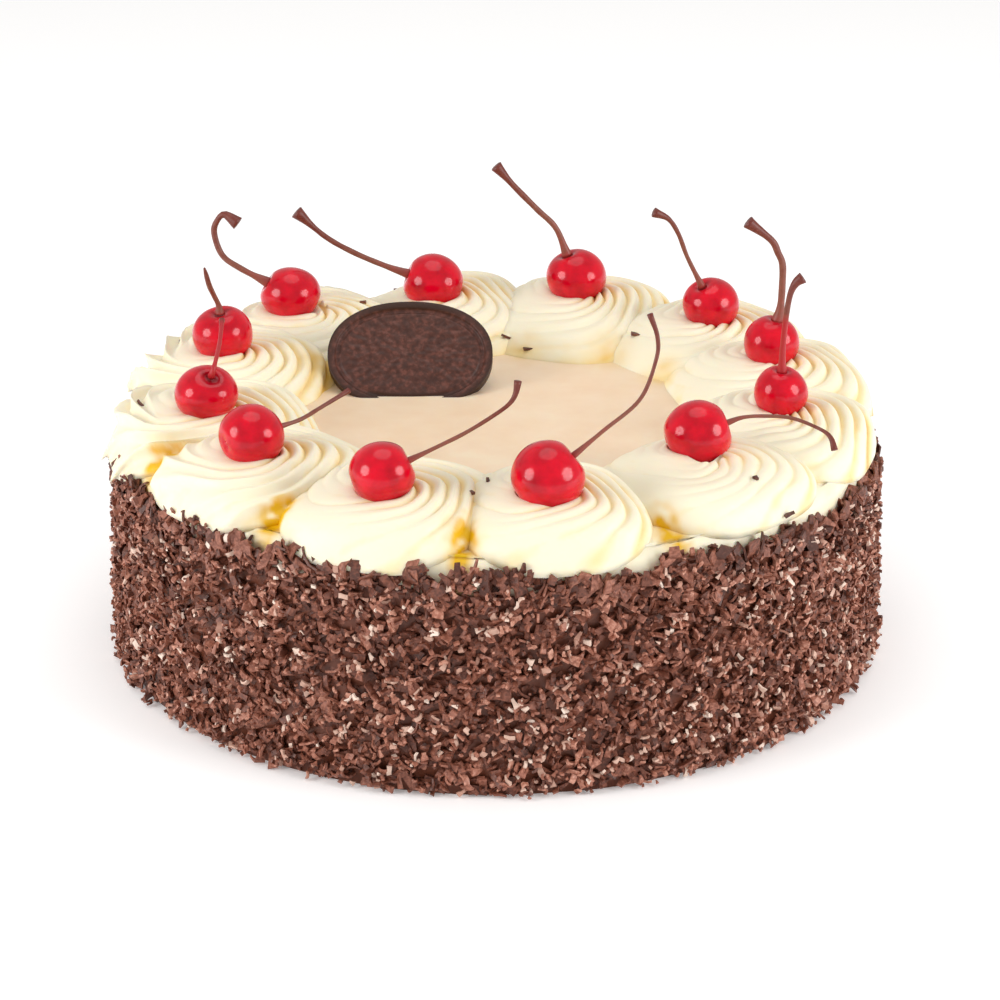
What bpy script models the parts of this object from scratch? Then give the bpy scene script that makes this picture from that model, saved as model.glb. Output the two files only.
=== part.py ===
# Black forest cake: a whole round cream cake with dark chocolate flakes all over its side,
# twelve piped cream rosettes on the rim, a cherry with its stem on each, and an oval
# chocolate plaque stood in the cream.
# Metres, +Z up. The origin is the centre of the underside, and the front faces -Y.

import math

import bmesh
import bpy
import numpy as np
from mathutils import Matrix, Vector

# Cake
CREAM_TOP = 0.067            # height of the smooth cream top
FLAKE_REACH = 0.115          # furthest that any flake reaches from the axis
WALL_RADIUS = 0.1110         # mean radius of the flaked side
LIP_RADIUS = 0.1086          # where the smooth top meets the flakes
RIM_RADIUS = 0.1108          # uneven top edge of the flaked side
BASE_RADIUS = 0.1100         # edge of the underside
WALL_STEPS = 112             # wall facets round the cake, each the width of a flake
WALL_ROWS = 9                # wall facets from top to bottom
WALL_RELIEF = 0.0017         # how far a facet's corner is pushed each way
EDGE_RELIEF = 0.4            # share of that push outward along the rim and the base
RIM_RELIEF = 0.0020          # how far the rim's edge rises or falls
UPRIGHT_LIMIT = 0.8          # a facet whose normal rises less than this is part of the side
LEVEL_LIMIT = 0.5            # and one whose normal rises more than this lies on the rim
FLAKE_SEED = 7

# Flakes that stand out from the side, and those that stand up along the rim
WALL_FLAKES = 320
FLAKE_OUT = (0.0018, 0.0040)     # how far a flake's broad face stands out
FLAKE_SHIFT = 0.0020             # how far it leans sideways, up or down
FLAKE_TURN = 0.5                 # how far it is turned in its own plane, in radians
FLAKE_SIZE = (0.60, 1.15)        # its size against the facet that it grows from
FLAKE_FLOOR = 0.0012             # no flake hangs lower than this
RIM_FLAKES = 58
RIM_RISE = (0.0012, 0.0050)
RIM_LEAN = 0.0022                # how far a rim flake's tip leans out or along the rim
RIM_TAPER = (0.35, 0.95)         # width of a rim flake's tip against its foot

# Piped rosettes
ROSETTES = 12
FIRST_ANGLE = math.radians(-79.3)    # the rosette nearest the front
ROSETTE_RING = 0.083                 # ring that the rosettes' centres lie on
ROSETTE_OUT = 0.0252                 # half-width towards the rim
ROSETTE_IN = 0.030                   # half-width towards the middle
ROSETTE_IN_BACK = 0.038              # the two rosettes at the back have longer tails
ROSETTE_SIDE = 0.0265                # half-width along the ring
ROSETTE_SQUARE = 2.4                 # 2 is an oval footprint, more is squarer
ROSETTE_HEIGHT = 0.0108
MOUND_FLAT = 3.0                     # how far the mound's flat top reaches out
MOUND_STEEP = 0.5                    # how steeply its side comes down, less is steeper
SWIRL_RIDGES = 10                    # ridges side by side that wind outward together
RIDGE_PITCH = 0.0052                 # ridge to ridge, measured along the mound
RIDGE_CREST = 0.0010
RIDGE_GROOVE = 0.0013
RIDGE_FADE = 0.12                    # share of the mound, at its foot, where ridges fade
SLOPE_STEP = 0.01                    # share of the mound over which its slope is taken
TURN_STEPS = 18                      # facets in one turn of the swirl
NEIGHBOUR_GAP = 0.0003
CUT_REACH = 0.00002                  # a corner this near to a cut is taken as lying on it
SAME_POINT = 0.00005                 # corners nearer than this are joined
BACK_ROSETTES = (5, 6)

# Cherries and stems
CHERRY_HEIGHT = 0.082                # height of the cherries' centres
CHERRY_SEGMENTS = 10
CHERRY_RINGS = 7
DIMPLE = 0.24                        # depth of the stem dimple, against the radius
DIMPLE_ANGLE = 0.32
NOTCH = 0.07                         # shallow notch at the blossom end
NOTCH_ANGLE = 0.35
CUP_GAP = 0.0004                     # clearance between a cherry and its cream
CUP_ROW = 0.0060                     # where the cup's floor ends, along the mound
STEM_RADIUS = 0.00080
STEM_FLARE = 1.7                     # stem radius at the cherry, against the middle
STEM_KNOB = 2.1                      # stem radius at its cut end, against the middle
STEM_START = 0.86                    # where a stem leaves the dimple, against the radius
STEM_POINTS = 8
STEM_END = 0.2                       # share of the stem that each thick end takes
STEM_KNOB_CURVE = 1.5                # above 1 the knob widens late
STEM_ROUND = 1                       # bevel steps: a stem of six sides
ROUTE_STEPS = 20                     # steps between two chosen points of a stem

# Each cherry: distance from the axis, turn from its rosette's regular place in degrees,
# diameter, and the points that its stem passes, from the cherry's centre.
CHERRIES = [
    (0.0858, -1.4, 0.0192, [(0.014, 0.004, 0.011), (0.024, 0.008, 0.018), (0.028, 0.011, 0.028),
                            (0.026, 0.013, 0.040)]),
    (0.0770, 5.1, 0.0183, [(0.018, 0.002, 0.0035), (0.026, 0.001, 0.003), (0.033, -0.003, 0.001),
                           (0.036, -0.007, -0.003)]),
    (0.0837, 3.4, 0.0153, [(0.000, -0.001, 0.014), (0.0005, -0.002, 0.024), (0.006, -0.002, 0.0335)]),
    (0.0834, 2.3, 0.0165, [(0.0025, 0.0, 0.015), (0.002, 0.0, 0.024), (-0.001, 0.0, 0.031),
                           (-0.008, 0.0, 0.0365)]),
    (0.0845, -1.7, 0.0174, [(-0.008, -0.004, 0.016), (-0.0115, -0.007, 0.025),
                            (-0.0145, -0.009, 0.030), (-0.0185, -0.010, 0.032)]),
    (0.0829, 1.7, 0.0188, [(-0.0065, 0.0, 0.0155), (-0.012, 0.0, 0.022), (-0.019, 0.0, 0.0295),
                           (-0.0255, 0.0, 0.0375)]),
    (0.0796, 3.7, 0.0191, [(-0.015, 0.0, 0.0045), (-0.0245, 0.0, 0.0085), (-0.0335, 0.0, 0.014),
                           (-0.042, 0.0, 0.0215)]),
    (0.0891, 4.7, 0.0182, [(-0.0155, 0.0, 0.008), (-0.021, 0.001, 0.0125), (-0.0235, 0.002, 0.019),
                           (-0.0205, 0.002, 0.0245), (-0.016, 0.001, 0.0225)]),
    (0.0853, 1.6, 0.0181, [(-0.001, -0.004, 0.011), (-0.0025, -0.008, 0.0175),
                           (-0.0035, -0.010, 0.0235)]),
    (0.0853, 5.9, 0.0180, [(0.002, 0.007, 0.006), (0.003, 0.014, 0.010), (0.0025, 0.022, 0.0135)]),
    (0.0873, -0.2, 0.0180, [(0.0125, 0.009, 0.0015), (0.018, 0.017, 0.002), (0.024, 0.024, 0.003)]),
    (0.0885, -0.5, 0.0174, [(0.015, 0.003, 0.006), (0.022, 0.005, 0.009), (0.0285, 0.007, 0.0125),
                            (0.0355, 0.010, 0.021)]),
]

# Oval plaque, leaning back with its foot in a slot in the cream
PLAQUE_WIDTH = 0.049
PLAQUE_LENGTH = 0.032
PLAQUE_THICKNESS = 0.004
PLAQUE_RIM = 0.0022          # width of the raised rim
PLAQUE_RELIEF = 0.0008       # height of the rim over the face
PLAQUE_SIDES = 40
PLAQUE_PLACE = (-0.0253, 0.0228, 0.0762)
PLAQUE_LEAN = math.radians(45)
SLOT_WIDTH = 0.0370
SLOT_GAP = 0.0004

# Finishes: colour, roughness
CREAM = ("whipped cream", (0.90, 0.82, 0.62, 1.0), 0.55)
FLAKED_CAKE = ("cream cake with chocolate flakes", (0.085, 0.036, 0.022, 1.0), 0.5)
CHERRY = ("glace cherry", (0.62, 0.010, 0.022, 1.0), 0.12)
STEM = ("cherry stem", (0.20, 0.055, 0.040, 1.0), 0.5)
CHOCOLATE = ("dark chocolate", (0.055, 0.024, 0.018, 1.0), 0.35)


def clear_scene():
    for obj in list(bpy.data.objects):
        bpy.data.objects.remove(obj, do_unlink=True)


def new_collection(name):
    collection = bpy.data.collections.new(name)
    bpy.context.scene.collection.children.link(collection)
    return collection


def finish(settings):
    name, colour, roughness = settings
    material = bpy.data.materials.new(name)
    material.use_nodes = True
    shader = material.node_tree.nodes["Principled BSDF"]
    shader.inputs["Base Color"].default_value = colour
    shader.inputs["Roughness"].default_value = roughness
    shader.inputs["Metallic"].default_value = 0.0
    return material


def add_object(name, data, collection, material=None):
    obj = bpy.data.objects.new(name, data)
    collection.objects.link(obj)
    if material is not None:
        data.materials.append(material)
    return obj


def mesh_of(bm, name):
    # closes the work on a bmesh, with its faces pointing out
    bmesh.ops.recalc_face_normals(bm, faces=bm.faces)
    mesh = bpy.data.meshes.new(name)
    bm.to_mesh(mesh)
    bm.free()
    return mesh


def apply_modifiers(obj):
    bpy.context.view_layer.update()
    evaluated = obj.evaluated_get(bpy.context.evaluated_depsgraph_get())
    mesh = bpy.data.meshes.new_from_object(evaluated)
    obj.modifiers.clear()
    obj.data = mesh


def polar(radius, angle, height=0.0):
    return Vector((radius * math.cos(angle), radius * math.sin(angle), height))


def cherry_places():
    # each cherry's centre, with its own angle round the cake
    places = []
    for index, (ring, turn, diameter, stem) in enumerate(CHERRIES):
        angle = FIRST_ANGLE + math.tau * index / ROSETTES + math.radians(turn)
        places.append(polar(ring, angle, CHERRY_HEIGHT))
    return places


def rosette_angles():
    # a rosette's centre lies half-way between its regular place and its cherry
    return [FIRST_ANGLE + math.tau * index / ROSETTES + math.radians(row[1]) / 2
            for index, row in enumerate(CHERRIES)]


def turned_cake(collection, material):
    # the cake turned as one profile, from the middle of the top down its side to the base
    profile = [(0.0, CREAM_TOP), (LIP_RADIUS, CREAM_TOP), (RIM_RADIUS, CREAM_TOP)]
    for row in range(1, WALL_ROWS):
        profile.append((WALL_RADIUS, CREAM_TOP * (1 - row / WALL_ROWS)))
    profile += [(BASE_RADIUS, 0.0), (0.0, 0.0)]
    mesh = bpy.data.meshes.new("cake_body")
    edges = [(i, i + 1) for i in range(len(profile) - 1)]
    mesh.from_pydata([(radius, 0.0, height) for radius, height in profile], edges, [])
    cake = add_object("cake_body", mesh, collection, material)
    screw = cake.modifiers.new("turn", "SCREW")
    screw.steps = WALL_STEPS
    screw.render_steps = WALL_STEPS
    screw.use_merge_vertices = True
    screw.merge_threshold = 0.0001
    apply_modifiers(cake)
    return cake


def radius_of(point):
    return math.hypot(point.x, point.y)


def hold_reach(point):
    # no flake reaches past the cake's outer size
    radius = radius_of(point)
    if radius > FLAKE_REACH:
        point.x *= FLAKE_REACH / radius
        point.y *= FLAKE_REACH / radius


def roughen_wall(bm, draw):
    # flake-sized facets all over the side, and a ragged edge along the rim
    half_step = math.pi / WALL_STEPS
    row_height = CREAM_TOP / WALL_ROWS
    for vertex in bm.verts:
        radius = radius_of(vertex.co)
        if radius < (LIP_RADIUS + RIM_RADIUS) / 2:
            continue
        row = round(vertex.co.z / row_height)
        on_edge = row in (0, WALL_ROWS)
        angle = math.atan2(vertex.co.y, vertex.co.x) + half_step * (row % 2)
        angle += draw.uniform(-WALL_RELIEF, WALL_RELIEF) / radius
        radius += draw.uniform(-WALL_RELIEF, WALL_RELIEF) * (EDGE_RELIEF if on_edge else 1.0)
        height = vertex.co.z
        if row == WALL_ROWS:
            height += draw.uniform(-RIM_RELIEF, RIM_RELIEF)
        elif row > 0:
            height += draw.uniform(-WALL_RELIEF, WALL_RELIEF)
        vertex.co = polar(radius, angle, height)


def scattered(faces, count, draw):
    # picks faces in a random order, leaving out those beside one already picked
    taken = set()
    picked = []
    for number in draw.permutation(len(faces)):
        sides = set(faces[number].edges)
        if taken.isdisjoint(sides) and len(picked) < count:
            taken |= sides
            picked.append(faces[number])
    return picked


def raise_flakes(bm, draw):
    # each flake is drawn out of its facet, then shrunk, turned and leaned
    side = [face for face in bm.faces if abs(face.normal.z) < UPRIGHT_LIMIT]
    grown = bmesh.ops.extrude_discrete_faces(bm, faces=scattered(side, WALL_FLAKES, draw))
    for face in grown["faces"]:
        middle = face.calc_center_median()
        outward = Vector((middle.x, middle.y, 0.0)).normalized()
        turn = Matrix.Rotation(draw.uniform(-FLAKE_TURN, FLAKE_TURN), 3, outward)
        along = outward.cross(Vector((0.0, 0.0, 1.0)))
        move = outward * draw.uniform(*FLAKE_OUT) + along * draw.uniform(-FLAKE_SHIFT, FLAKE_SHIFT)
        move.z = draw.uniform(-FLAKE_SHIFT, FLAKE_SHIFT)
        size = draw.uniform(*FLAKE_SIZE)
        for vertex in face.verts:
            vertex.co = middle + turn @ (vertex.co - middle) * size + move
            vertex.co.z = max(vertex.co.z, FLAKE_FLOOR)
            hold_reach(vertex.co)


def raise_rim(bm, draw):
    # upright flakes along the rim, outside the rosettes
    rim = [face for face in bm.faces if face.normal.z > LEVEL_LIMIT
           and radius_of(face.calc_center_median()) > LIP_RADIUS]
    grown = bmesh.ops.extrude_discrete_faces(bm, faces=scattered(rim, RIM_FLAKES, draw))
    for face in grown["faces"]:
        middle = face.calc_center_median()
        outward = Vector((middle.x, middle.y, 0.0)).normalized()
        along = outward.cross(Vector((0.0, 0.0, 1.0)))
        move = outward * draw.uniform(0.0, RIM_LEAN) + along * draw.uniform(-RIM_LEAN, RIM_LEAN)
        move.z = draw.uniform(*RIM_RISE)
        taper = draw.uniform(*RIM_TAPER)
        for vertex in face.verts:
            vertex.co = middle + (vertex.co - middle) * taper + move
            hold_reach(vertex.co)


def flake_side(cake):
    draw = np.random.RandomState(FLAKE_SEED)
    bm = bmesh.new()
    bm.from_mesh(cake.data)
    roughen_wall(bm, draw)
    bm.normal_update()
    raise_rim(bm, draw)
    raise_flakes(bm, draw)
    bm.to_mesh(cake.data)
    bm.free()


def plaque_place():
    return Matrix.Translation(PLAQUE_PLACE) @ Matrix.Rotation(PLAQUE_LEAN, 4, "X")


def cut_plaque_slot(cake, collection):
    # a slanted slot that takes the plaque's foot
    bm = bmesh.new()
    depth = PLAQUE_LENGTH + SLOT_GAP * 2
    size = Matrix.Diagonal((SLOT_WIDTH, depth, PLAQUE_THICKNESS + SLOT_GAP * 2, 1.0))
    bmesh.ops.create_cube(bm, size=1.0, matrix=plaque_place() @ size)
    cutter = add_object("plaque_slot_cutter", mesh_of(bm, "plaque_slot_cutter"), collection)
    cutter.hide_render = True
    cutter.display_type = "WIRE"
    cut = cake.modifiers.new("plaque slot", "BOOLEAN")
    cut.operation = "DIFFERENCE"
    cut.object = cutter
    apply_modifiers(cake)


def footprint(direction, outward, reach_in):
    # distance from a rosette's centre to its foot in one direction
    along = direction.dot(outward)
    across = direction.cross(outward).z
    reach = ROSETTE_OUT if along > 0 else reach_in
    total = abs(along / reach) ** ROSETTE_SQUARE + abs(across / ROSETTE_SIDE) ** ROSETTE_SQUARE
    return total ** (-1 / ROSETTE_SQUARE)


def mound(share):
    # height of the mound at a share of the way from its centre to its foot
    return ROSETTE_HEIGHT * (1 - share ** MOUND_FLAT) ** MOUND_STEEP


def mound_point(share, reach):
    return Vector((share * reach, mound(share)))


def ridge_point(run, arc, reach, lift):
    # a point on the mound's profile, moved off it by the ridge's relief
    share = min(run / arc, 1.0)
    here = mound_point(share, reach)
    if share >= 1.0:
        return here
    ahead = mound_point(min(share + SLOPE_STEP, 1.0), reach)
    behind = mound_point(max(share - SLOPE_STEP, 0.0), reach)
    slope = (ahead - behind).normalized()
    fade = min(1.0, (1 - share) / RIDGE_FADE)
    return here + Vector((-slope.y, slope.x)) * lift * fade


def wind_rosette(index, places, angles):
    # the swirl is a grid wound into a spiral: its rows follow the ridges and grooves, and
    # one turn clockwise moves them outward by the width of all the ridges together
    angle = angles[index]
    outward = polar(1.0, angle)
    centre = polar(ROSETTE_RING, angle, CREAM_TOP + NEIGHBOUR_GAP)
    reach_in = ROSETTE_IN_BACK if index in BACK_ROSETTES else ROSETTE_IN
    cherry = places[index]
    cherry_radius = CHERRIES[index][2] / 2 + CUP_GAP
    cup_floor = cherry.z - cherry_radius
    arc = (ROSETTE_OUT + ROSETTE_SIDE) / 2 + ROSETTE_HEIGHT * 0.5
    row_step = RIDGE_PITCH / 2
    swirl = SWIRL_RIDGES * RIDGE_PITCH
    rows = math.ceil((arc - CUP_ROW + swirl) / row_step)

    bm = bmesh.new()
    bmesh.ops.create_grid(bm, x_segments=TURN_STEPS, y_segments=rows, size=0.5)
    for vertex in bm.verts:
        column = round((vertex.co.x + 0.5) * TURN_STEPS)
        row = round((vertex.co.y + 0.5) * rows)
        theta = math.tau * column / TURN_STEPS
        run = CUP_ROW + row * row_step - swirl * column / TURN_STEPS
        run = min(max(run, CUP_ROW), arc)
        direction = polar(1.0, theta)
        lift = RIDGE_CREST if row % 2 == 0 else -RIDGE_GROOVE
        if run <= CUP_ROW:
            lift = 0.0
        flat = ridge_point(run, arc, footprint(direction, outward, reach_in), lift)
        point = centre + direction * flat.x + Vector((0.0, 0.0, flat.y))
        beside = (point - cherry).xy.length
        if run <= CUP_ROW:
            point.z = cup_floor
        elif beside < cherry_radius:
            point.z = min(point.z, cherry.z - math.sqrt(cherry_radius ** 2 - beside ** 2))
        vertex.co = point
    bmesh.ops.remove_doubles(bm, verts=bm.verts, dist=SAME_POINT)
    close_holes(bm)
    for side in (-1, 1):
        part_from_neighbour(bm, angles, index, side)
    return mesh_of(bm, f"rosette_{index + 1:02d}")


def close_holes(bm):
    rims = [edge for edge in bm.edges if edge.is_boundary]
    bmesh.ops.holes_fill(bm, edges=rims, sides=0)


def part_from_neighbour(bm, angles, index, side):
    # flat side where two rosettes press together, half the gap away from the middle
    other = angles[(index + side) % ROSETTES]
    turn = (other - angles[index] + math.pi) % math.tau - math.pi
    plane_angle = angles[index] + turn / 2
    normal = polar(1.0, plane_angle + side * math.pi / 2)
    geometry = bm.verts[:] + bm.edges[:] + bm.faces[:]
    bmesh.ops.bisect_plane(bm, geom=geometry, plane_co=-normal * NEIGHBOUR_GAP / 2,
                           plane_no=normal, clear_outer=True, dist=CUT_REACH)
    bmesh.ops.remove_doubles(bm, verts=bm.verts, dist=SAME_POINT)
    close_holes(bm)


def cherry_mesh(index):
    # a ball with a dimple at the stem and a shallow notch opposite, its axis along the stem
    radius = CHERRIES[index][2] / 2
    bm = bmesh.new()
    bmesh.ops.create_uvsphere(bm, u_segments=CHERRY_SEGMENTS, v_segments=CHERRY_RINGS, radius=1.0)
    for vertex in bm.verts:
        polar_angle = math.acos(max(-1.0, min(1.0, vertex.co.z)))
        dent = DIMPLE * math.exp(-(polar_angle / DIMPLE_ANGLE) ** 2)
        dent += NOTCH * math.exp(-((math.pi - polar_angle) / NOTCH_ANGLE) ** 2)
        vertex.co *= radius * (1 - dent)
    axis = Vector(CHERRIES[index][3][0]).normalized()
    bm.transform(Vector((0.0, 0.0, 1.0)).rotation_difference(axis).to_matrix().to_4x4())
    return mesh_of(bm, f"cherry_{index + 1:02d}")


def smooth_route(points, count):
    # evenly spread points on a smooth curve through a few chosen ones
    ends = [points[0] * 2 - points[1]] + points + [points[-1] * 2 - points[-2]]
    dense = []
    for before, start, end, after in zip(ends, ends[1:], ends[2:], ends[3:]):
        for step in range(ROUTE_STEPS):
            t = step / ROUTE_STEPS
            dense.append(0.5 * (2 * start + (end - before) * t
                                + (2 * before - 5 * start + 4 * end - after) * t * t
                                + (3 * start - before - 3 * end + after) * t ** 3))
    dense.append(points[-1])
    walked = [0.0]
    for here, there in zip(dense, dense[1:]):
        walked.append(walked[-1] + (there - here).length)
    marks = np.linspace(0.0, walked[-1], count)
    columns = [np.interp(marks, walked, [point[k] for point in dense]) for k in range(3)]
    return [Vector(values) for values in zip(*columns)]


def add_stem(index, place, collection, material):
    radius = CHERRIES[index][2] / 2
    chosen = [Vector(point) for point in CHERRIES[index][3]]
    start = chosen[0].normalized() * radius * STEM_START
    route = smooth_route([start] + chosen, STEM_POINTS)
    curve = bpy.data.curves.new(f"cherry_stem_{index + 1:02d}", "CURVE")
    curve.dimensions = "3D"
    curve.bevel_depth = STEM_RADIUS
    curve.bevel_resolution = STEM_ROUND
    curve.use_fill_caps = True
    spline = curve.splines.new("POLY")
    spline.points.add(len(route) - 1)
    for number, point in enumerate(route):
        share = number / (len(route) - 1)
        flare = (STEM_FLARE - 1) * max(0.0, 1 - share / STEM_END)
        knob = (STEM_KNOB - 1) * max(0.0, 1 - (1 - share) / STEM_END) ** STEM_KNOB_CURVE
        spline.points[number].co = (*point, 1.0)
        spline.points[number].radius = 1 + flare + knob
    stem = add_object(curve.name, curve, collection, material)
    stem.location = place
    return stem


def plaque_mesh():
    # an oval slab with a raised rim round its face
    bm = bmesh.new()
    oval = Matrix.Diagonal((PLAQUE_WIDTH, PLAQUE_LENGTH, PLAQUE_THICKNESS, 1.0))
    bmesh.ops.create_cone(bm, cap_ends=True, segments=PLAQUE_SIDES, radius1=0.5, radius2=0.5,
                          depth=1.0, matrix=oval)
    face = max(bm.faces, key=lambda candidate: candidate.calc_center_median().z)
    bmesh.ops.inset_region(bm, faces=[face], thickness=PLAQUE_RIM, use_even_offset=True)
    bmesh.ops.inset_region(bm, faces=[face], thickness=PLAQUE_RELIEF, use_even_offset=True)
    bmesh.ops.translate(bm, verts=face.verts, vec=(0.0, 0.0, -PLAQUE_RELIEF))
    return mesh_of(bm, "plaque")


def build():
    clear_scene()
    parts = new_collection("black_forest_cake")
    cutters = new_collection("cutters")
    cream = finish(CREAM)
    cherry_red = finish(CHERRY)
    stem_brown = finish(STEM)

    cake = turned_cake(parts, finish(FLAKED_CAKE))
    flake_side(cake)
    cut_plaque_slot(cake, cutters)

    places = cherry_places()
    angles = rosette_angles()
    for index in range(ROSETTES):
        rosette = wind_rosette(index, places, angles)
        add_object(rosette.name, rosette, parts, cream)
        cherry = cherry_mesh(index)
        cherry.shade_smooth()
        add_object(cherry.name, cherry, parts, cherry_red).location = places[index]
        add_stem(index, places[index], parts, stem_brown)

    plaque = add_object("plaque", plaque_mesh(), parts, finish(CHOCOLATE))
    plaque.matrix_world = plaque_place()


build()
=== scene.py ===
import math

import bpy
import numpy as np
from mathutils import Matrix, Vector, noise


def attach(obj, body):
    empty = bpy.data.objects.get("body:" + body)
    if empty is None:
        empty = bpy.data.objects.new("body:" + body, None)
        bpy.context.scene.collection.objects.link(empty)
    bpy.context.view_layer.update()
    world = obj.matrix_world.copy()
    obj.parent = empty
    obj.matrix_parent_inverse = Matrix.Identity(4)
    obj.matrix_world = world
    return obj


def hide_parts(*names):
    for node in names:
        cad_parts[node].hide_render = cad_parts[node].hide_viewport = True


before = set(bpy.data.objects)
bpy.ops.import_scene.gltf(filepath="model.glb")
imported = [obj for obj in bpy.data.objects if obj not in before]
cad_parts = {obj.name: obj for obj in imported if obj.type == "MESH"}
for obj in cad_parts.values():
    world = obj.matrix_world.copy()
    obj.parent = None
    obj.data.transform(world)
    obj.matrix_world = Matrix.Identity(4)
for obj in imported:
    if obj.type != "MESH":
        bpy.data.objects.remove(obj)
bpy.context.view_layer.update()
print("scene: the packed cake is loaded")

# Black forest cake: the finished surfaces. Metres, +Z up, the front of the cake faces -Y.

mm = 0.001
creamTop = 67 * mm           # height of the smooth cream top, as in the solids
flakeReach = 115 * mm        # outer size of the cake
rosetteCount = 12
firstAngle = math.radians(-79.3)     # the rosette nearest the front
cherryHeight = 82 * mm

# The cherries, anticlockwise from the one nearest the front: distance from the axis, turn
# from the rosette's regular place in degrees, diameter, squash upright, how far it has
# settled into the cream, and the points that the stem passes, counted from the cherry's
# centre. All but turn and squash are in millimetres.
cherryRows = [
    (85.8, -1.4, 20.0, 0.97, 0.9, [(14.4, 4, 11.3), (24.2, 8, 18.7), (28.4, 11, 28.7), (28.7, 12, 34.7),
                                   (26.6, 13, 40.8)]),
    (77.0, 5.1, 19.1, 0.95, 0.8, [(12.3, 1.5, 4.0), (18.6, 2, 4.2), (25.9, 1, 3.9), (33.2, -3, 2.2),
                                  (35.8, -5, 0.5), (36.7, -7, -2.2)]),
    (83.7, 3.4, 15.4, 1.00, 0.6, [(0, -1, 14.6), (0.5, -2, 23.8), (1.4, -2, 30), (2.8, -2, 33.2),
                                  (4.7, -2, 34.8)]),
    (83.4, 2.3, 16.5, 1.00, 0.6, [(2.3, 0, 10.7), (2.6, 0, 18.4), (2.4, 0, 24.3), (1, 0, 27.7),
                                  (-1.1, 0, 31.6), (-8.1, 0, 37.1)]),
    (84.5, -1.7, 17.4, 0.95, 0.7, [(-7.8, -4, 16.4), (-10.9, -7, 24.8), (-14.1, -9, 30.1),
                                   (-18.5, -10, 32.5)]),
    (82.9, 1.7, 18.8, 0.95, 0.5, [(-6.5, 0, 16), (-12.3, 0, 22), (-19.3, 0, 29.3), (-25.1, 0, 36)]),
    (79.6, 3.7, 19.1, 0.93, 1.7, [(-14.7, 0, 5.4), (-24.6, 0, 9.8), (-33.5, 0, 15.1), (-42.2, 0, 23)]),
    (89.1, 4.7, 18.6, 0.90, 0.6, [(-15.4, 0, 8.5), (-20.8, 1, 12.4), (-23.1, 2, 19.3), (-21.8, 2, 23.4),
                                  (-19.6, 2, 25), (-15.6, 1, 22.5)]),
    (85.3, 1.6, 18.1, 0.95, 0.6, [(-0.8, -2, 9.9), (-1.9, -4, 13.7), (-2.7, -8, 18.1), (-3.7, -10, 24)]),
    (85.3, 5.9, 18.0, 0.88, 0.3, [(2.6, -4, 8.2), (3.3, -1, 10.6), (3.6, 9, 12.4), (3.3, 20, 14.8)]),
    (87.3, -0.2, 18.0, 0.96, 0.4, [(12.6, 9, 1.2), (17.9, 17, 1.7), (25.4, 24, 4.1)]),
    (88.5, -0.5, 17.9, 0.95, 0.5, [(15, 3, 6.5), (21.9, 5, 9.4), (28.5, 7, 12.9), (33.3, 8.5, 16),
                                   (35.2, 9.5, 18.6), (35.9, 10, 22.2)]),
]


def polar(radius, angle, height=0.0):
    return Vector((radius * math.cos(angle), radius * math.sin(angle), height))


def cherryPlace(index):
    ring, turn = cherryRows[index][:2]
    angle = firstAngle + math.tau * index / rosetteCount + math.radians(turn)
    return polar(ring * mm, angle, cherryHeight - cherryRows[index][4] * mm)


def rosetteAngle(index):
    turn = cherryRows[index][1]
    return firstAngle + math.tau * index / rosetteCount + math.radians(turn) / 2


# Making materials


def linear(hexColour):
    # an sRGB colour such as #C8102E as the linear values that the shader reads
    values = [int(hexColour[i:i + 2], 16) / 255 for i in (1, 3, 5)]
    return [v / 12.92 if v <= 0.04045 else ((v + 0.055) / 1.055) ** 2.4 for v in values] + [1.0]


def fillSockets(tree, node, sockets):
    # each socket is given a value or a link
    for socket, value in sockets.items():
        if isinstance(value, bpy.types.NodeSocket):
            tree.links.new(value, node.inputs[socket])
        else:
            node.inputs[socket].default_value = value


def addNode(tree, kind, sockets=None, stops=None, **settings):
    # one node: its properties, its sockets and, for a colour ramp, its stops
    node = tree.nodes.new(kind)
    for name, value in settings.items():
        setattr(node, name, value)
    fillSockets(tree, node, sockets or {})
    if stops:
        ramp = node.color_ramp
        while len(ramp.elements) < len(stops):
            ramp.elements.new(0.5)
        for element, (position, colour) in zip(ramp.elements, stops):
            element.position = position
            element.color = linear(colour) if isinstance(colour, str) else [colour] * 3 + [1]
    return node


def startMaterial(name):
    material = bpy.data.materials.new(name)
    material.use_nodes = True
    tree = material.node_tree
    tree.nodes.clear()
    shader = addNode(tree, "ShaderNodeBsdfPrincipled")
    addNode(tree, "ShaderNodeOutputMaterial", {"Surface": shader.outputs[0]})
    return material, tree, shader


# Working on meshes


def deselectAll():
    bpy.ops.object.select_all(action="DESELECT")


def newPiece(name):
    # the primitive that an operator has just added gets its name
    piece = bpy.context.object
    piece.name = name
    piece.data.name = name
    return piece


def activate(piece):
    deselectAll()
    piece.select_set(True)
    bpy.context.view_layer.objects.active = piece


def readPoints(piece):
    points = np.empty(len(piece.data.vertices) * 3)
    piece.data.vertices.foreach_get("co", points)
    return points.reshape(-1, 3)


def writePoints(piece, points):
    piece.data.vertices.foreach_set("co", np.ascontiguousarray(points).ravel())
    piece.data.update()


def editPiece(piece, *steps):
    # runs edit-mode operators, each given with its settings
    activate(piece)
    bpy.ops.object.mode_set(mode="EDIT")
    for operator, settings in steps:
        operator(**settings)
    bpy.ops.object.mode_set(mode="OBJECT")


def selectFaces(piece, test):
    # leaves only the faces that pass the test selected
    activate(piece)
    bpy.ops.object.mode_set(mode="EDIT")
    bpy.ops.mesh.select_mode(type="FACE")
    bpy.ops.mesh.select_all(action="DESELECT")
    bpy.ops.object.mode_set(mode="OBJECT")
    for polygon in piece.data.polygons:
        polygon.select = bool(test(polygon))


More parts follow.
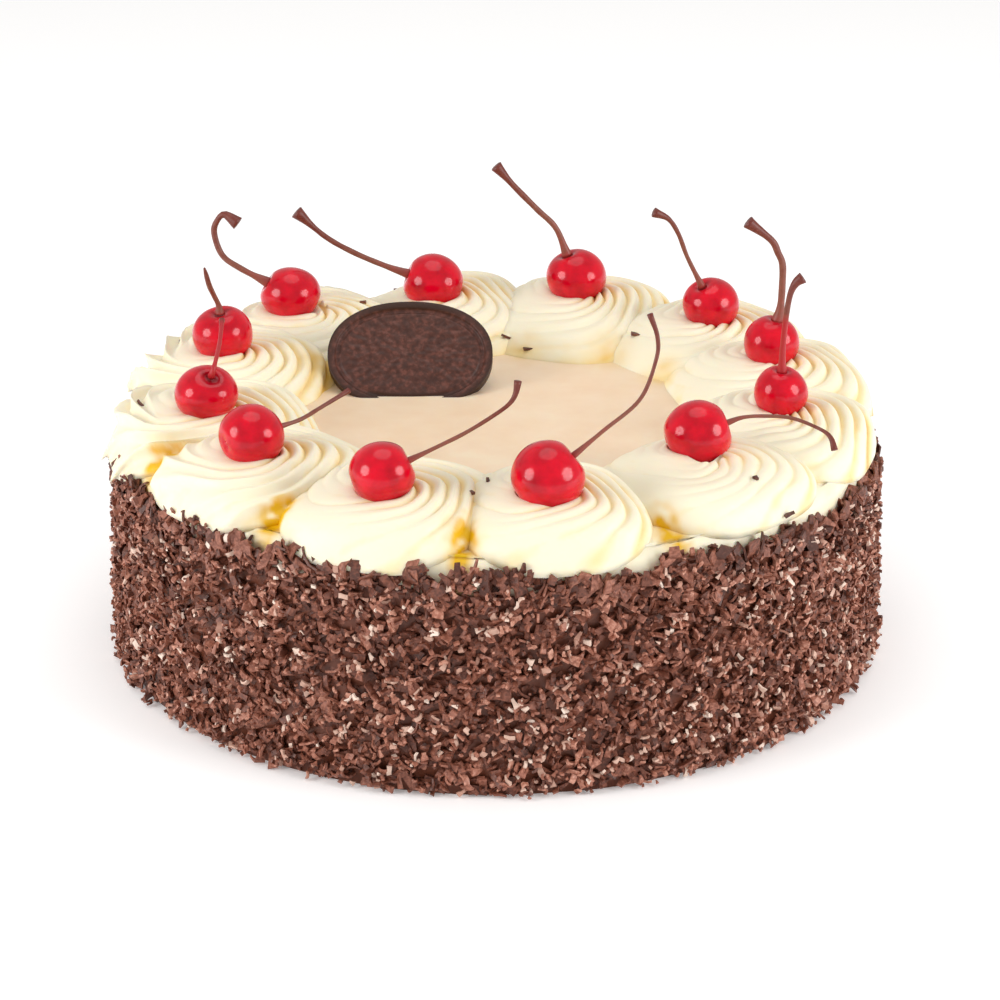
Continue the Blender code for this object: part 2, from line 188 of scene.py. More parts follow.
def storeAttribute(piece, name, values):
    attribute = piece.data.attributes.new(name, "FLOAT", "POINT")
    attribute.data.foreach_set("value", np.ascontiguousarray(values, dtype=np.float32))


def finishPiece(piece, material, replaced=None):
    piece.data.materials.clear()
    piece.data.materials.append(material)
    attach(piece, "root")
    if replaced:
        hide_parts(replaced)


def turnBetween(angle, other):
    # the shorter way from one angle to the other, in radians
    return (angle - other + math.pi) % math.tau - math.pi


def noiseAt(points, scale, seed=0.0):
    # smooth noise of about -1 to 1 at each point, its lumps about one scale across
    shift = Vector((seed * 7.3, seed * 3.1, seed * 5.7))
    return np.array([noise.noise(Vector(point) / scale + shift) for point in points])


# Camera: fitted to the photo's rims and cherries, with the cake 1.2 mm left of its middle

view = {
    "lens": 108.5,               # millimetres on a 36 mm sensor
    "distance": 0.889,
    "elevation": math.radians(22.8),
    "target": (1.16 * mm, 0.0, 38.8 * mm),
}
bpy.ops.object.camera_add()
camera = bpy.context.object
camera.name = "camera"
camera.data.lens = view["lens"]
camera.data.sensor_width = 36
camera.data.clip_start = 0.05
camera.rotation_euler = (math.pi / 2 - view["elevation"], 0.0, 0.0)
camera.location = Vector(view["target"]) + view["distance"] * Vector(
    (0.0, -math.cos(view["elevation"]), math.sin(view["elevation"])))
bpy.context.scene.camera = camera
print("scene: camera placed")


# Whipped cream: sweetened dairy cream, satin, with a faint warm depth, as light sinks in a
# little. The yellow-tan of the grooves and the darker smooth top are painted shade, set per point.

cream = {
    "crest": "#F8EFD4",
    "shade": "#F8E0A6",
    "deep": "#DCAC54",
    "spreadShade": "#F6DDBE",    # the smooth top, which lies in the shade of the rosettes
    "spreadDeep": "#EECDA9",
    "yellowShade": "#E6B400",          # painted shade, yellow, where two rosettes meet and in spots beside the plaque
    "flakeGapShade": "#6A3A28",        # painted shade: dark brown on the side, in the gaps between the flakes
    "roughness": 0.42,
    "cloudSize": 9 * mm,         # patches of warmer and paler cream
    "bubbleSize": 0.9 * mm,
    "bubbleDepth": 0.05 * mm,
}


def whippedCream(name, crest, shade, deep):
    material, tree, shader = startMaterial(name)
    place = addNode(tree, "ShaderNodeTexCoord").outputs["Object"]
    groove = addNode(tree, "ShaderNodeAttribute", attribute_name="creamShade").outputs["Fac"]
    cloud = addNode(tree, "ShaderNodeTexNoise",
                    {"Vector": place, "Scale": 1 / cream["cloudSize"], "Detail": 3.0})
    spread = addNode(tree, "ShaderNodeMapRange",
                     {0: cloud.outputs["Fac"], 1: 0.3, 2: 0.7, 3: -0.12, 4: 0.12})
    mixed = addNode(tree, "ShaderNodeMath", {0: groove, 1: spread.outputs[0]},
                    operation="ADD", use_clamp=True)
    ramp = addNode(tree, "ShaderNodeValToRGB", {"Fac": mixed.outputs[0]},
                   stops=[(0.18, crest), (0.55, shade), (1.0, deep)])
    colour = ramp.outputs["Color"]
    # painted shade: first yellow where rosettes meet and beside the plaque, then dark brown on the side
    # under the flakes
    for layer in ("yellowShade", "flakeGapShade"):
        amount = addNode(tree, "ShaderNodeAttribute", attribute_name=layer).outputs["Fac"]
        mix = addNode(tree, "ShaderNodeMix", {0: amount, 6: colour, 7: linear(cream[layer])},
                      data_type="RGBA")
        colour = mix.outputs[2]
    bubbles = addNode(tree, "ShaderNodeTexNoise",
                      {"Vector": place, "Scale": 1 / cream["bubbleSize"], "Detail": 2.0})
    bump = addNode(tree, "ShaderNodeBump",
                   {"Height": bubbles.outputs["Fac"], "Distance": cream["bubbleDepth"], "Strength": 0.6})
    fillSockets(tree, shader, {
        "Base Color": colour, "Normal": bump.outputs["Normal"], "Roughness": cream["roughness"],
        "Subsurface Weight": 0.25, "Subsurface Radius": (1.0, 0.7, 0.35), "Subsurface Scale": 2.5 * mm,
        "IOR": 1.4})
    return material


pipedCream = whippedCream("whipped cream", cream["crest"], cream["shade"], cream["deep"])
spreadCream = whippedCream("spread cream", cream["crest"], cream["spreadShade"], cream["spreadDeep"])

# Painted shade: yellow where two rosettes meet and in a few spots inside their ring

yellowShade = {
    "gapWidth": 3.0 * mm,        # it lies this wide where two rosettes meet
    "ring": 103 * mm,            # about this far from the axis
    "ringWidth": 7 * mm,
    "junctionShade": [1, 0.1, 0.3, 0.5, 0.5, 0.5, 0.5, 0.5, 0.5, 1, 1, 1],     # how much painted shade the gap after each rosette gets
    "amount": 1.4,
    "patchy": 2.6,
    "patchSize": 3 * mm,
    "climb": 7 * mm,             # it fades out over this height up a rosette's side
    "climbStart": 0.7,           # and is whole up to this share of it
    # spots of painted shade inside the ring: place and size in millimetres, and strength
    "shadeSpots": [(-53, 24, 7.0, 0.85), (35, 43.5, 6.0, 0.4), (49, 26.5, 5.0, 0.4), (9, 47, 5.0, 0.35)],
    "spotPatchy": 0.8,
    "spotPatchSize": 4 * mm,
}


def yellowShadeAt(points):
    # how much yellow painted shade each point gets
    angle = np.arctan2(points[:, 1], points[:, 0])
    radius = np.hypot(points[:, 0], points[:, 1])
    offRing = (radius - yellowShade["ring"]) / yellowShade["ringWidth"]
    total = np.zeros(len(points))
    for index in range(rosetteCount):
        here, following = rosetteAngle(index), rosetteAngle((index + 1) % rosetteCount)
        junction = here + turnBetween(following, here) / 2
        aside = turnBetween(angle, junction) * radius / yellowShade["gapWidth"]
        total += yellowShade["junctionShade"][index] * np.exp(-aside ** 2 - offRing ** 2)
    total *= yellowShade["amount"] + yellowShade["patchy"] * noiseAt(points, yellowShade["patchSize"], 13.0)
    patches = 1 + yellowShade["spotPatchy"] * noiseAt(points, yellowShade["spotPatchSize"], 15.0)
    for x, y, size, strength in yellowShade["shadeSpots"]:
        away = np.hypot(points[:, 0] - x * mm, points[:, 1] - y * mm) / (size * mm)
        total += strength * np.exp(-away ** 2) * patches
    return np.clip(total, 0, 1)


# Glace cherry: candied fruit in syrup. The skin is clear and wet over soft red flesh, so
# it takes sharp highlights and darkens towards its edge.

cherrySkin = {"light": "#D8042A", "dark": "#8A0318", "roughness": 0.2}


def glaceCherry():
    material, tree, shader = startMaterial("glace cherry")
    place = addNode(tree, "ShaderNodeTexCoord").outputs["Object"]
    flesh = addNode(tree, "ShaderNodeTexNoise", {"Vector": place, "Scale": 1 / (5 * mm), "Detail": 4.0})
    dimple = addNode(tree, "ShaderNodeAttribute", attribute_name="dimple").outputs["Fac"]
    tone = addNode(tree, "ShaderNodeMath", {0: dimple, 1: flesh.outputs["Fac"]}, operation="ADD")
    ramp = addNode(tree, "ShaderNodeValToRGB", {"Fac": tone.outputs[0]},
                   stops=[(0.35, cherrySkin["light"]), (0.95, cherrySkin["dark"])])
    wrinkle = addNode(tree, "ShaderNodeTexNoise",
                      {"Vector": place, "Scale": 1 / (2.2 * mm), "Detail": 2.0})
    bump = addNode(tree, "ShaderNodeBump",
                   {"Height": wrinkle.outputs["Fac"], "Distance": 0.10 * mm, "Strength": 0.5})
    fillSockets(tree, shader, {
        "Base Color": ramp.outputs["Color"], "Normal": bump.outputs["Normal"],
        "Roughness": cherrySkin["roughness"], "Subsurface Weight": 0.25,
        "Subsurface Radius": (1.0, 0.08, 0.06), "Subsurface Scale": 4 * mm, "IOR": 1.32,
        "Specular Tint": (1.0, 0.6, 0.64, 1.0), "Coat Weight": 0.7, "Coat Roughness": 0.12,
        "Coat IOR": 1.4, "Coat Tint": (1.0, 0.62, 0.66, 1.0)})
    return material


# Cherry stem: a dried woody stalk stained red by the syrup, dull, darker at its cut end.

def cherryStalk():
    material, tree, shader = startMaterial("cherry stalk")
    place = addNode(tree, "ShaderNodeTexCoord").outputs["Object"]
    along = addNode(tree, "ShaderNodeAttribute", attribute_name="along").outputs["Fac"]
    grain = addNode(tree, "ShaderNodeTexNoise",
                    {"Vector": place, "Scale": 1 / (1.6 * mm), "Detail": 3.0})
    spread = addNode(tree, "ShaderNodeMapRange",
                     {0: grain.outputs["Fac"], 1: 0.3, 2: 0.7, 3: -0.2, 4: 0.2})
    tone = addNode(tree, "ShaderNodeMath", {0: along, 1: spread.outputs[0]}, operation="ADD")
    ramp = addNode(tree, "ShaderNodeValToRGB", {"Fac": tone.outputs[0]},
                   stops=[(0.0, "#90483D"), (0.35, "#824B3B"), (0.75, "#743629"), (1.0, "#6A271B")])
    stainAndShade = addNode(tree, "ShaderNodeAttribute", attribute_name="stainAndShade").outputs["Fac"]
    colour = addNode(tree, "ShaderNodeMix",
                     {0: stainAndShade, 6: ramp.outputs["Color"], 7: linear("#B4061C")}, data_type="RGBA")
    bump = addNode(tree, "ShaderNodeBump",
                   {"Height": grain.outputs["Fac"], "Distance": 0.08 * mm, "Strength": 0.7})
    fillSockets(tree, shader, {
        "Base Color": colour.outputs[2], "Normal": bump.outputs["Normal"], "Roughness": 0.45})
    return material


# Dark chocolate, shaved: cocoa butter gives a soft gloss, the cut faces scatter to a paler
# brown, so each flake has its own tone. The layers that lie deeper on the side also get darker tones, as
# painted shade.

def shavedChocolate():
    material, tree, shader = startMaterial("shaved dark chocolate")
    place = addNode(tree, "ShaderNodeTexCoord").outputs["Object"]
    tone = addNode(tree, "ShaderNodeAttribute", attribute_name="flakeTone").outputs["Fac"]
    streak = addNode(tree, "ShaderNodeTexNoise",
                     {"Vector": place, "Scale": 1 / (0.9 * mm), "Detail": 4.0})
    spread = addNode(tree, "ShaderNodeMapRange",
                     {0: streak.outputs["Fac"], 1: 0.3, 2: 0.7, 3: -0.25, 4: 0.25})
    mixed = addNode(tree, "ShaderNodeMath", {0: tone, 1: spread.outputs[0]},
                    operation="ADD", use_clamp=True)
    ramp = addNode(tree, "ShaderNodeValToRGB", {"Fac": mixed.outputs[0]},
                   stops=[(0.0, "#4E281C"), (0.4, "#7C4735"), (0.8, "#AC6F5A"), (1.0, "#CB937D")])
    bump = addNode(tree, "ShaderNodeBump",
                   {"Height": streak.outputs["Fac"], "Distance": 0.22 * mm, "Strength": 0.9})
    fillSockets(tree, shader, {
        "Base Color": ramp.outputs["Color"], "Normal": bump.outputs["Normal"], "Roughness": 0.46,
        "IOR": 1.47})
    return material


# Dark chocolate, moulded: smoother than the shavings, with the faint bloom of a mould.

def mouldedChocolate():
    material, tree, shader = startMaterial("moulded dark chocolate")
    place = addNode(tree, "ShaderNodeTexCoord").outputs["Object"]
    bloom = addNode(tree, "ShaderNodeTexNoise",
                    {"Vector": place, "Scale": 1 / (1.6 * mm), "Detail": 4.0})
    ramp = addNode(tree, "ShaderNodeValToRGB", {"Fac": bloom.outputs["Fac"]},
                   stops=[(0.35, "#3C1D13"), (0.52, "#4C281D"), (0.68, "#663A2F")])
    edge = addNode(tree, "ShaderNodeAttribute", attribute_name="edge").outputs["Fac"]
    colour = addNode(tree, "ShaderNodeMix", {0: edge, 6: ramp.outputs["Color"], 7: linear("#33190C")},
                     data_type="RGBA")
    grain = addNode(tree, "ShaderNodeTexNoise",
                    {"Vector": place, "Scale": 1 / (0.8 * mm), "Detail": 3.0})
    bump = addNode(tree, "ShaderNodeBump",
                   {"Height": grain.outputs["Fac"], "Distance": 0.12 * mm, "Strength": 0.8})
    fillSockets(tree, shader, {
        "Base Color": colour.outputs[2], "Normal": bump.outputs["Normal"], "Roughness": 0.46,
        "IOR": 1.42})
    return material


# The cream-coated cake under the flakes

coat = {
    "radius": 110.2 * mm,
    "sides": 256,
    "edgeRound": 4.0 * mm,
    "levels": [12 * mm, 24 * mm, 36 * mm, 48 * mm, 57 * mm, 61 * mm],
    "topRings": 40,
    "topRipple": 0.30 * mm,      # dips that the palette knife left
    "rippleSize": 26 * mm,
    "strokeWidth": 7.5 * mm,
    "lipFrom": 92 * mm,          # beyond this distance from the axis the cream is uneven
    "lipWidth": 6 * mm,
    "lipRipple": 0.9 * mm,
    "lipLump": 6 * mm,
    "wallRipple": 0.5 * mm,
    "wallLump": 12 * mm,
    "middleShade": 0.62,              # how much painted shade the smooth middle gets, and over what width it pales towards the rim
    "middleShadeFade": 10 * mm,
    "gapShadeTop": 61 * mm,          # the side is painted dark brown below this height, as shade in the gaps between the flakes
    "gapShadeFade": 4 * mm,
    "heapedFoot": 5 * mm,        # the side draws in above its foot, over this much height
    "taperHeight": 45 * mm,
    "taper": 1.7 * mm,
}


def wallTaper(height):
    # how far the side draws in above the heaped foot
    return coat["taper"] * np.clip((height - coat["heapedFoot"]) / coat["taperHeight"], 0, 1)


def makeCoat():
    deselectAll()
    bpy.ops.mesh.primitive_cylinder_add(vertices=coat["sides"], radius=coat["radius"], depth=creamTop,
                                        location=(0.0, 0.0, creamTop / 2))
    piece = newPiece("creamCoat")
    bpy.ops.object.transform_apply(location=True, rotation=True, scale=True)
    for level in coat["levels"]:
        editPiece(piece, (bpy.ops.mesh.select_all, {"action": "SELECT"}),
                  (bpy.ops.mesh.bisect, {"plane_co": (0, 0, level), "plane_no": (0, 0, 1)}))
    selectFaces(piece, lambda polygon: polygon.normal.z > 0.5)
    editPiece(piece, (bpy.ops.mesh.bevel, {"offset": coat["edgeRound"], "segments": 6}))
    selectFaces(piece, lambda polygon: polygon.normal.z > 0.99 and len(polygon.vertices) > 8)
    ringWidth = (coat["radius"] - coat["edgeRound"]) / (coat["topRings"] + 0.5)
    rings = [(bpy.ops.mesh.inset, {"thickness": ringWidth}) for ring in range(coat["topRings"])]
    editPiece(piece, *rings, (bpy.ops.mesh.poke, {}))
    points = readPoints(piece)
    radius = np.hypot(points[:, 0], points[:, 1])
    onTop = points[:, 2] > creamTop - 0.1 * mm
    onWall = radius > coat["radius"] - 1 * mm
    ripple = noiseAt(points, coat["rippleSize"], 3.0)
    stroke = np.sin(radius / coat["strokeWidth"] + ripple * 2.0) * 0.25
    points[:, 2] += np.where(onTop, (ripple + stroke) * coat["topRipple"], 0.0)
    lip = np.clip((radius - coat["lipFrom"]) / coat["lipWidth"], 0, 1) * onTop
    points[:, 2] += lip * noiseAt(points, coat["lipLump"], 9.0) * coat["lipRipple"]
    wave = 1 + noiseAt(points, coat["wallLump"], 5.0) * coat["wallRipple"] / coat["radius"]
    wave -= wallTaper(points[:, 2]) / coat["radius"]
    points[:, :2] *= np.where(radius > coat["radius"] - coat["edgeRound"], wave, 1.0)[:, None]
    writePoints(piece, points)
    # painted shade: the smooth middle darker than its rim, the side under the flakes dark brown, and
    # yellow where rosettes meet
    shadedMiddle = np.clip((coat["lipFrom"] - radius) / coat["middleShadeFade"], 0, 1)
    storeAttribute(piece, "creamShade", shadedMiddle * (coat["middleShade"] + ripple * 0.1))
    gapShade = np.clip((coat["gapShadeTop"] - points[:, 2]) / coat["gapShadeFade"], 0, 1)
    storeAttribute(piece, "flakeGapShade", gapShade * onWall)
    storeAttribute(piece, "yellowShade", yellowShadeAt(points))
    piece.data.shade_smooth()
    finishPiece(piece, spreadCream, "cake_body")
    return piece


creamSurfaces = [makeCoat()]     # what a fallen crumb can lie on
print("scene: cream coat spread")


# Piped rosettes: a ridged rope of cream wound clockwise from the middle outward

rosette = {
    "ring": 83 * mm,
    # reach outward and to the sides in millimetres, for each rosette
    "out": [27.8, 26.4, 27.6, 29.0, 28.5, 26.5, 26.5, 27.5, 27.8, 29.6, 28.2, 28.2],
    "side": [26.0, 28.6, 28.6, 28.6, 28.6, 28.6, 28.6, 28.6, 28.6, 28.6, 28.6, 28.2],
    "into": 30.5 * mm,           # reach towards the middle
    "intoBack": 39 * mm,         # the two at the back have longer tails
    "square": 2.9,               # 2 gives a round foot, more a squarer one
    "height": 11.2 * mm,
    "flat": 3.0,
    "steep": 0.5,
    "soft": 0.35,                # how much gentler the foot runs out towards the middle
    "slopeStep": 0.004,          # share of the mound over which its slope is taken
    "slump": {6: (2.8, 0.55)},   # a side that lies lower: its direction in radians and how much
    "sink": 0.8 * mm,            # how far its foot lies in the cream coat
    "droopFrom": 106 * mm,       # beyond this distance from the axis the cream hangs down
    "droop": 0.13 / mm,
    "pitch": 5.2 * mm,           # from ridge to ridge
    "ridges": 10,                # ridges that one turn crosses
    "ridgeDepth": 2.7 * mm,
    "ridgeCrest": 0.40,          # less gives broader crests and narrower grooves
    "ropeDepth": 1.1 * mm,
    "crispSide": 0.4,            # the direction in which the ridges stand out most, in radians
    "calm": 0.49,                # how much shallower they lie on the far side
    "gentle": {0: 0.8, 1: 0.5},  # rosettes whose ridges have sunk, and what is left of them
    "unevenness": 0.6,           # how much the ridges' depth varies
    "wander": 2.1,               # and how far they stray from the spiral, in radians
    "lump": 0.6 * mm,
    "pleats": {7: 2.0, 8: 5.0, 9: 4.4, 10: 1.5},     # outer pleats, in millimetres, where it has them
    "cupEdge": 0.25 * mm,        # the cherry's cup is this much narrower than the cherry
    "turnSteps": 200,
    "runSteps": 110,
    "cupStart": 0.16,
}
backRosettes = (5, 6)


def footReach(theta, outward, index):
    # distance from the rosette's middle to its foot in each direction
    intoReach = rosette["intoBack"] if index in backRosettes else rosette["into"]
    along = np.cos(theta - outward)
    across = np.sin(theta - outward)
    reach = np.where(along > 0, rosette["out"][index] * mm, intoReach)
    side = rosette["side"][index] * mm
    total = np.abs(along / reach) ** rosette["square"] + np.abs(across / side) ** rosette["square"]
    return total ** (-1 / rosette["square"])


def mound(share, steep):
    return rosette["height"] * np.maximum(1 - share ** rosette["flat"], 0) ** steep


def swirl(index, theta, share):
    # the ridges' phase grows outward along the mound and once round for each ridge
    span = rosette["side"][index] * mm + rosette["height"] * 0.5
    loop = np.stack([np.cos(theta) * 9, np.sin(theta) * 9, share * 14], axis=1)
    wander = noiseAt(loop, 6.0, index + 1.0)
    lump = noiseAt(loop, 9.0, index + 21.0)
    phase = math.tau * share * span / rosette["pitch"] + rosette["ridges"] * theta
    phase += wander * rosette["wander"]
    crest = ((np.sin(phase / 2) ** 2 + 0.03) / 1.03) ** rosette["ridgeCrest"]
    rope = np.abs(np.sin(phase / 2 / rosette["ridges"])) ** 0.45
    return phase, crest, rope, lump


def ridgeLift(index, theta, share, depth, swirled):
    # how far the surface stands out of the plain mound
    phase, crest, rope, lump = swirled
    fade = np.clip((1 - share) / 0.10, 0, 1) * 0.5 + 0.5
    lift = ((crest - 0.55) * depth * (1 + rosette["unevenness"] * lump)
            + (rope - 0.75) * rosette["ropeDepth"]) * fade + lump * rosette["lump"]
    pleat = (1 - np.abs(np.cos(phase / 2))) ** 1.3 - 0.3
    outerSide = np.clip(np.cos(theta - rosetteAngle(index)) * 1.6, 0, 1)
    outerSide *= np.clip((share - 0.55) / 0.3, 0, 1)
    lift += rosette["pleats"].get(index, 0) * mm * pleat * outerSide
    return lift * np.clip((1 - share) / 0.015, 0, 1)


def raiseMound(index, theta, share, lift):
    # distance from the rosette's middle and height above its foot
    outward = rosetteAngle(index)
    reach = footReach(theta, outward, index)
    step = rosette["slopeStep"]
    steep = rosette["steep"] + rosette["soft"] * np.clip(-np.cos(theta - outward), 0, 1)
    slopeUp = mound(np.minimum(share + step, 1), steep) - mound(share - step, steep)
    slopeOut = reach * (np.minimum(share + step, 1) - (share - step))
    length = np.hypot(slopeUp, slopeOut)
    radial = share * reach - slopeUp / length * lift
    height = mound(share, steep) + slopeOut / length * lift
    side, slump = rosette["slump"].get(index, (0.0, 0.0))
    towards = np.sqrt(np.clip(np.cos(theta - side), 0, 1))
    height *= 1 - slump * towards * np.clip(share * 2 - 0.6, 0, 1)
    return radial, height


def grooveShade(theta, share, depth, swirled, beyondCup, axisDistance):
    # painted shade: yellow-tan in the grooves, more on the crisp side and next to the cherry, and at the
    # foot, most towards the cake's middle
    crest, rope, lump = swirled[1:]
    groove = np.clip(1 - crest, 0, 1) * 0.75 * (0.25 + depth / rosette["ridgeDepth"])
    groove += np.clip(1 - rope, 0, 1) * 0.25
    foot = np.clip((share - 0.80) / 0.2, 0, 1)
    inner = np.clip((66 * mm - axisDistance) / (12 * mm), 0, 1)
    byCherry = np.exp(-np.maximum(beyondCup, 0) / (3.5 * mm))
    crispShare = np.clip(np.cos(theta - rosette["crispSide"]), 0, 1)
    stainAndShade = groove * (0.5 + 0.5 * foot + 0.6 * byCherry + 0.5 * crispShare)
    return np.clip(stainAndShade + foot * (0.08 + 0.3 * inner * (0.5 + lump)), 0, 1)


def makeRosette(index):
    deselectAll()
    bpy.ops.mesh.primitive_grid_add(x_subdivisions=rosette["turnSteps"],
                                    y_subdivisions=rosette["runSteps"], size=1)
    piece = newPiece(f"rosetteCream{index + 1:02d}")
    flat = readPoints(piece)
    theta = (flat[:, 0] + 0.5) * math.tau
    share = rosette["cupStart"] + (flat[:, 1] + 0.5) * (1 - rosette["cupStart"])
    depth = rosette["ridgeDepth"] * (1 - rosette["calm"] * (1 - np.cos(theta - rosette["crispSide"])))
    depth *= rosette["gentle"].get(index, 1)
    swirled = swirl(index, theta, share)
    lift = ridgeLift(index, theta, share, depth, swirled)
    radial, height = raiseMound(index, theta, share, lift)
    centre = np.array(polar(rosette["ring"], rosetteAngle(index), creamTop - rosette["sink"]))
    points = centre + np.stack([np.cos(theta) * radial, np.sin(theta) * radial, height], axis=1)
    axisDistance = np.hypot(points[:, 0], points[:, 1])
    points[:, 2] -= np.maximum(axisDistance - rosette["droopFrom"], 0) ** 2 * rosette["droop"]

    # the cherry presses a cup into the cream
    cherry = cherryPlace(index)
    press = cherryRows[index][2] / 2 * mm - rosette["cupEdge"]
    beside = np.hypot(points[:, 0] - cherry[0], points[:, 1] - cherry[1])
    cup = cherry[2] - np.sqrt(np.maximum(press ** 2 - beside ** 2, 0)) * cherryRows[index][3]
    points[:, 2] = np.where(beside < press, np.minimum(points[:, 2], cup), points[:, 2])
    writePoints(piece, points)

    # painted shade: yellow-tan in the grooves and at the foot, and yellow where rosettes meet, fading
    # out up the side
    stainAndShade = grooveShade(theta, share, depth, swirled, beside - press, axisDistance)
    storeAttribute(piece, "creamShade", stainAndShade)
    climb = np.clip(1 + yellowShade["climbStart"] - (points[:, 2] - creamTop) / yellowShade["climb"], 0, 1)
    storeAttribute(piece, "yellowShade", yellowShadeAt(points) * climb)
    editPiece(piece,
              (bpy.ops.mesh.select_all, {"action": "SELECT"}),
              (bpy.ops.mesh.remove_doubles, {"threshold": 1e-6}),
              (bpy.ops.mesh.fill_holes, {"sides": 0}),
              (bpy.ops.mesh.normals_make_consistent, {"inside": False}))
    piece.data.shade_smooth()
    finishPiece(piece, pipedCream, f"rosette_{index + 1:02d}")
    return piece


for index in range(rosetteCount):
    creamSurfaces.append(makeRosette(index))
print("scene: rosettes piped")


# Cherries and stems

fruit = {
    "segments": 48,
    "rings": 32,
    "dimple": 0.25,
    "dimpleAngle": 0.30,
    "notch": 0.09,
    "notchAngle": 0.30,
    "lump": 0.030,
}
stalk = {
    "radius": [0.54, 0.52, 0.84, 1.05, 0.68, 0.92, 0.88, 0.92, 0.78, 0.60, 0.60, 0.54],
    "stained": {2: 0.62, 9: 1.0},    # the share of the stalk that syrup has stained, where it shows
    "knob": [1.5, 2.0, 2.0, 1.9, 2.3, 2.1, 2.4, 2.3, 0.4, 1.5, 1.4, 2.0],
    "flare": 1.9,
    "ends": 0.2,                 # share of the stalk over which it widens
    "start": 0.80,
    "points": 40,
    "knot": 0.10,                # how much the stalk's thickness wanders
}
cherryRed = glaceCherry()
stalkBrown = cherryStalk()


def makeCherry(index):
    diameter, squash, settled, stem = cherryRows[index][2:]
    radius = diameter / 2 * mm
    deselectAll()
    bpy.ops.mesh.primitive_uv_sphere_add(segments=fruit["segments"], ring_count=fruit["rings"], radius=1)
    piece = newPiece(f"cherryFruit{index + 1:02d}")
    points = readPoints(piece)
    angle = np.arccos(np.clip(points[:, 2], -1, 1))
    around = np.arctan2(points[:, 1], points[:, 0])
    dimple = np.exp(-(angle / fruit["dimpleAngle"]) ** 2)
    cleft = np.exp(-((math.pi - angle) / fruit["notchAngle"]) ** 2) * (1 + 0.4 * np.cos(2 * around))
    lumps = noiseAt(points, 1.1, index * 1.7)
    size = 1 - fruit["dimple"] * dimple - fruit["notch"] * cleft + fruit["lump"] * lumps
    points *= (size * radius)[:, None]
    turn = Vector((0, 0, 1)).rotation_difference(Vector(stem[0]).normalized()).to_matrix()
    points = points @ np.array(turn).T
    points[:, 2] *= squash
    writePoints(piece, points + np.array(cherryPlace(index)))
    storeAttribute(piece, "dimple", dimple * 0.5)
    piece.data.shade_smooth()
    finishPiece(piece, cherryRed, f"cherry_{index + 1:02d}")


def smoothRoute(points, count):
    # evenly spread points on a smooth curve through the chosen ones
    points = np.array(points, float)
    ends = np.vstack([2 * points[0] - points[1], points, 2 * points[-1] - points[-2]])
    dense = []
    for k in range(len(ends) - 3):
        before, start, end, after = ends[k:k + 4]
        for t in np.linspace(0, 1, 24, endpoint=False):
            dense.append(0.5 * (2 * start + (end - before) * t
                                + (2 * before - 5 * start + 4 * end - after) * t ** 2
                                + (3 * start - before - 3 * end + after) * t ** 3))
    dense = np.array(dense + [points[-1]])
    walked = np.concatenate([[0], np.cumsum(np.linalg.norm(np.diff(dense, axis=0), axis=1))])
    marks = np.linspace(0, walked[-1], count)
    return np.stack([np.interp(marks, walked, dense[:, k]) for k in range(3)], axis=1)


def makeStalk(index):
    stem = [Vector(point) * mm for point in cherryRows[index][5]]
    radius = cherryRows[index][2] / 2 * mm
    start = stem[0].normalized() * radius * stalk["start"]
    route = smoothRoute([start] + stem, stalk["points"]) + np.array(cherryPlace(index))
    deselectAll()
    bpy.ops.curve.primitive_nurbs_path_add()
    piece = newPiece(f"cherryStalk{index + 1:02d}")
    curve = piece.data
    curve.splines.clear()
    spline = curve.splines.new("POLY")
    spline.points.add(len(route) - 1)
    wobble = noiseAt(route, 4 * mm, index + 40.0)
    for number, point in enumerate(route):
        share = number / (len(route) - 1)
        flare = (stalk["flare"] - 1) * max(0.0, 1 - share / stalk["ends"]) ** 1.6
        knob = (stalk["knob"][index] - 1) * max(0.0, 1 - (1 - share) / stalk["ends"]) ** 1.5
        spline.points[number].co = (*point, 1.0)
        spline.points[number].radius = 1 + flare + knob + stalk["knot"] * wobble[number]
    curve.bevel_depth = stalk["radius"][index] * mm
    curve.bevel_resolution = 3
    curve.use_fill_caps = True
    bpy.ops.object.convert(target="MESH")
    piece = newPiece(f"cherryStalk{index + 1:02d}")
    editPiece(piece,
              (bpy.ops.mesh.select_all, {"action": "SELECT"}),
              (bpy.ops.mesh.remove_doubles, {"threshold": 1e-6}),
              (bpy.ops.mesh.normals_make_consistent, {"inside": False}))
    points = readPoints(piece)
    nearest = np.argmin(np.linalg.norm(points[:, None, :] - route[None], axis=2), axis=1)
    along = nearest / (len(route) - 1)
    storeAttribute(piece, "along", along)
    storeAttribute(piece, "stainAndShade", np.clip((stalk["stained"].get(index, 0.06) - along) / 0.12, 0, 0.85))
    piece.data.shade_smooth()
    finishPiece(piece, stalkBrown, f"cherry_stem_{index + 1:02d}")


for index in range(rosetteCount):
    makeCherry(index)
    makeStalk(index)
print("scene: cherries and stems set")


# The oval plaque: moulded, with a rounded rim and a softly hammered face

plaque = {
    "width": 49 * mm,
    "length": 34.5 * mm,
    "thickness": 4 * mm,
    "rim": 2.0 * mm,
    "relief": 0.9 * mm,          # how deep the face lies below the rim
    "step": 0.5 * mm,            # width of the slope down to it
    "groove": 1.0 * mm,          # flat stretch outside the bead
    "beadWidth": 0.4 * mm,
    "beadHeight": 0.45 * mm,
    "softEdge": 0.55 * mm,
    "faceMargin": 4 * mm,        # the hammered face keeps this far from the outline
    "faceCuts": 13,
    "hammer": 0.26 * mm,
    "hammerSize": 1.5 * mm,
    "place": (-25.5 * mm, 22.35 * mm, 75.65 * mm),
    "lean": math.radians(45),
    "sides": 96,
    "fullness": 2.2,             # 2 is a true oval, more is squarer
}


